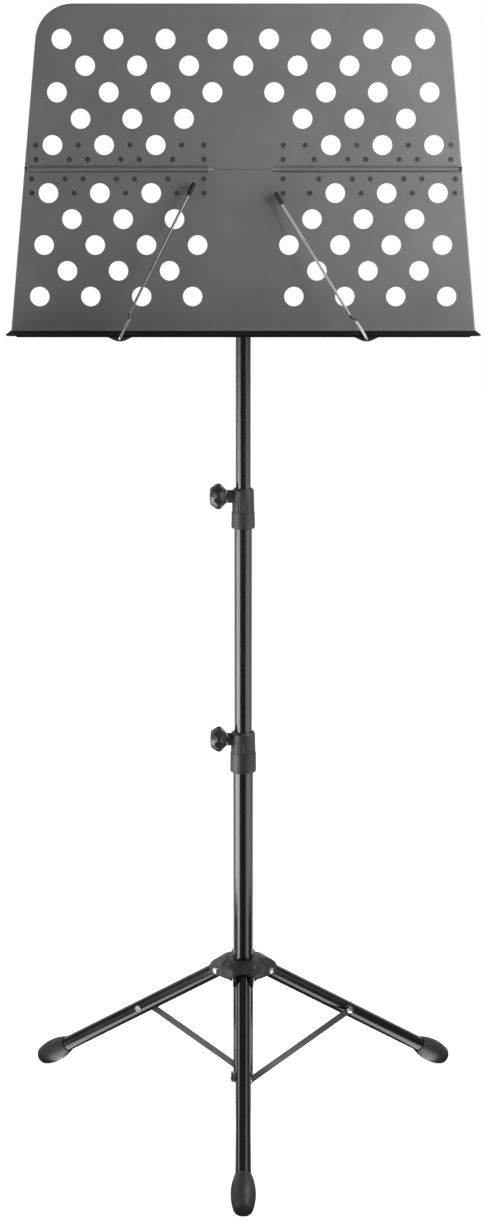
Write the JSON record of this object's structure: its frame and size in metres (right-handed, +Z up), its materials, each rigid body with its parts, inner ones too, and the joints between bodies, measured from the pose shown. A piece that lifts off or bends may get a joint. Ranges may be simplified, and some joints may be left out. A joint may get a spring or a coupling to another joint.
{
  "type": "music stand",
  "caption": "Folding orchestral music stand: perforated hinged desk with wire page holders on a telescopic mast and folding tripod.",
  "frame": {"origin": "centre of the footprint, on the floor, feet standing at z = 0", "axes": "+Z up along the mast, -Y towards the reader, +X to the reader's right"},
  "size_m": [0.4835, 0.4216, 1.2011],
  "materials": {
    "tube_paint": "gloss black powder coat",
    "desk_paint": "satin black powder coat",
    "bracket_paint": "satin black paint",
    "collar_plastic": "matt moulded black",
    "knob_plastic": "semi-matt moulded black",
    "knob_cap_plastic": "matt grey-black",
    "nylon": "black nylon",
    "brass": "turned",
    "zinc": "zinc plated",
    "rivet_steel": "bright nickel plated",
    "panel_rivet_paint": "painted over",
    "wire_steel": "grey plated spring wire",
    "cap_rubber": "soft black",
    "foot_rubber": "moulded black rubber"
  },
  "bodies": {
    "base": {"bottom_tube": "tube_paint", "bottom_tube_plug": "nylon", "lower_spider": "bracket_paint", "spider_rivets": "rivet_steel", "lower_collar": "collar_plastic", "lower_collar_insert": "brass"},
    "hub": {"tripod_hub": "collar_plastic", "hub_rivets": "rivet_steel"},
    "hub_screw": {"hub_clamp_knob": "knob_plastic", "hub_clamp_knob_cap": "knob_cap_plastic", "hub_clamp_stud": "zinc"},
    "lower_screw": {"lower_clamp_knob": "knob_plastic", "lower_clamp_knob_cap": "knob_cap_plastic", "lower_clamp_stud": "zinc"},
    "middle_mast": {"middle_tube": "tube_paint", "middle_tube_bush": "nylon", "upper_collar": "collar_plastic", "upper_collar_insert": "brass"},
    "upper_screw": {"upper_clamp_knob": "knob_plastic", "upper_clamp_knob_cap": "knob_cap_plastic", "upper_clamp_stud": "zinc"},
    "top_mast": {"top_tube": "tube_paint", "top_tube_bush": "nylon"},
    "head": {"tilt_head": "collar_plastic", "tilt_washers": "nylon"},
    "head_screw": {"head_clamp_knob": "knob_plastic", "head_clamp_knob_cap": "knob_cap_plastic", "head_clamp_stud": "zinc"},
    "lower_desk": {"lower_panel": "desk_paint", "back_plate": "bracket_paint", "tilt_bracket": "bracket_paint", "tilt_bolt": "zinc", "lower_hinge_leaves": "desk_paint", "hinge_pins": "zinc", "lower_hinge_rivets": "panel_rivet_paint", "pivot_blocks": "collar_plastic", "pivot_block_rivets": "panel_rivet_paint"},
    "tilt_nut": {"tilt_knob": "knob_plastic"},
    "upper_desk": {"upper_panel": "desk_paint", "upper_hinge_leaves": "desk_paint", "upper_hinge_rivets": "panel_rivet_paint"},
    "left_holder": {"left_page_holder": "wire_steel", "left_holder_cap": "cap_rubber"},
    "right_holder": {"right_page_holder": "wire_steel", "right_holder_cap": "cap_rubber"},
    "leg_front": {"leg_front": "tube_paint", "foot_front": "foot_rubber", "leg_rivet_front": "rivet_steel"},
    "brace_front": {"brace_front": "bracket_paint", "brace_rivet_front": "rivet_steel"},
    "leg_left": {"leg_left": "tube_paint", "foot_left": "foot_rubber", "leg_rivet_left": "rivet_steel"},
    "brace_left": {"brace_left": "bracket_paint", "brace_rivet_left": "rivet_steel"},
    "leg_right": {"leg_right": "tube_paint", "foot_right": "foot_rubber", "leg_rivet_right": "rivet_steel"},
    "brace_right": {"brace_right": "bracket_paint", "brace_rivet_right": "rivet_steel"}
  },
  "joints": [
    {"name": "tripod_fold", "type": "slide", "parent": "base", "child": "hub", "axis": [0, 0, 1], "range_m": [0, 0.1392]},
    {"name": "leg_front_pivot", "type": "hinge", "parent": "hub", "child": "leg_front", "pos_m": [0, 0.03727, 0.1607], "axis": [1, 0, 0], "range_deg": [0, 54.52]},
    {"name": "brace_front_pivot", "type": "hinge", "parent": "base", "child": "brace_front", "pos_m": [0, 0.06637, 0.0357], "axis": [-1, 0, 0], "range_deg": [0, 52.03]},
    {"name": "leg_left_pivot", "type": "hinge", "parent": "hub", "child": "leg_left", "pos_m": [-0.0252, 0.08092, 0.1607], "axis": [-0.5, -0.866, 0], "range_deg": [0, 54.52]},
    {"name": "brace_left_pivot", "type": "hinge", "parent": "base", "child": "brace_left", "pos_m": [0, 0.06637, 0.0357], "axis": [0.5, 0.866, 0], "range_deg": [0, 52.03]},
    {"name": "leg_right_pivot", "type": "hinge", "parent": "hub", "child": "leg_right", "pos_m": [0.0252, 0.08092, 0.1607], "axis": [-0.5, 0.866, 0], "range_deg": [0, 54.52]},
    {"name": "brace_right_pivot", "type": "hinge", "parent": "base", "child": "brace_right", "pos_m": [0, 0.06637, 0.0357], "axis": [0.5, -0.866, 0], "range_deg": [0, 52.03]},
    {"name": "middle_extension", "type": "slide", "parent": "base", "child": "middle_mast", "axis": [0, 0, 1], "range_m": [-0.215, 0.072]},
    {"name": "top_extension", "type": "slide", "parent": "middle_mast", "child": "top_mast", "axis": [0, 0, 1], "range_m": [-0.17, 0.137]},
    {"name": "desk_swivel", "type": "hinge", "parent": "top_mast", "child": "head", "pos_m": [0, 0.06637, 0.921], "axis": [0, 0, 1], "continuous": true},
    {"name": "desk_tilt", "type": "hinge", "parent": "head", "child": "lower_desk", "pos_m": [0, 0.06637, 0.935], "axis": [-1, 0, 0], "range_deg": [-10, 90]},
    {"name": "desk_fold", "type": "hinge", "parent": "lower_desk", "child": "upper_desk", "pos_m": [0, 0.02007, 1.0378], "axis": [1, 0, 0], "range_deg": [0, 140]},
    {"name": "left_holder_swing", "type": "hinge", "parent": "lower_desk", "child": "left_holder", "pos_m": [-0.1248, -0.03323, 0.8707], "axis": [0, -1, 0], "range_deg": [-14, 97]},
    {"name": "right_holder_swing", "type": "hinge", "parent": "lower_desk", "child": "right_holder", "pos_m": [0.1248, -0.03323, 0.8707], "axis": [0, 1, 0], "range_deg": [-9, 105]},
    {"name": "lower_clamp_turn", "type": "hinge", "parent": "base", "child": "lower_screw", "pos_m": [-0.0172, 0.06637, 0.4277], "axis": [-1, 0, 0], "range_deg": [0, 360]},
    {"name": "upper_clamp_turn", "type": "hinge", "parent": "middle_mast", "child": "upper_screw", "pos_m": [-0.0172, 0.06637, 0.6944], "axis": [-1, 0, 0], "range_deg": [0, 360]},
    {"name": "hub_clamp_turn", "type": "hinge", "parent": "hub", "child": "hub_screw", "pos_m": [0, 0.09387, 0.168], "axis": [0, 1, 0], "range_deg": [0, 360]},
    {"name": "head_clamp_turn", "type": "hinge", "parent": "head", "child": "head_screw", "pos_m": [0, 0.08357, 0.9], "axis": [0, 1, 0], "range_deg": [0, 360]},
    {"name": "tilt_knob_turn", "type": "hinge", "parent": "lower_desk", "child": "tilt_nut", "pos_m": [0.025, 0.06637, 0.935], "axis": [1, 0, 0], "range_deg": [0, 360]}
  ],
  "couplings": [
    {"joint": "leg_front_pivot", "follows": "tripod_fold", "rad_per_m": 6.835},
    {"joint": "brace_front_pivot", "follows": "tripod_fold", "rad_per_m": 6.523},
    {"joint": "leg_left_pivot", "follows": "tripod_fold", "rad_per_m": 6.835},
    {"joint": "brace_left_pivot", "follows": "tripod_fold", "rad_per_m": 6.523},
    {"joint": "leg_right_pivot", "follows": "tripod_fold", "rad_per_m": 6.835},
    {"joint": "brace_right_pivot", "follows": "tripod_fold", "rad_per_m": 6.523}
  ]
}
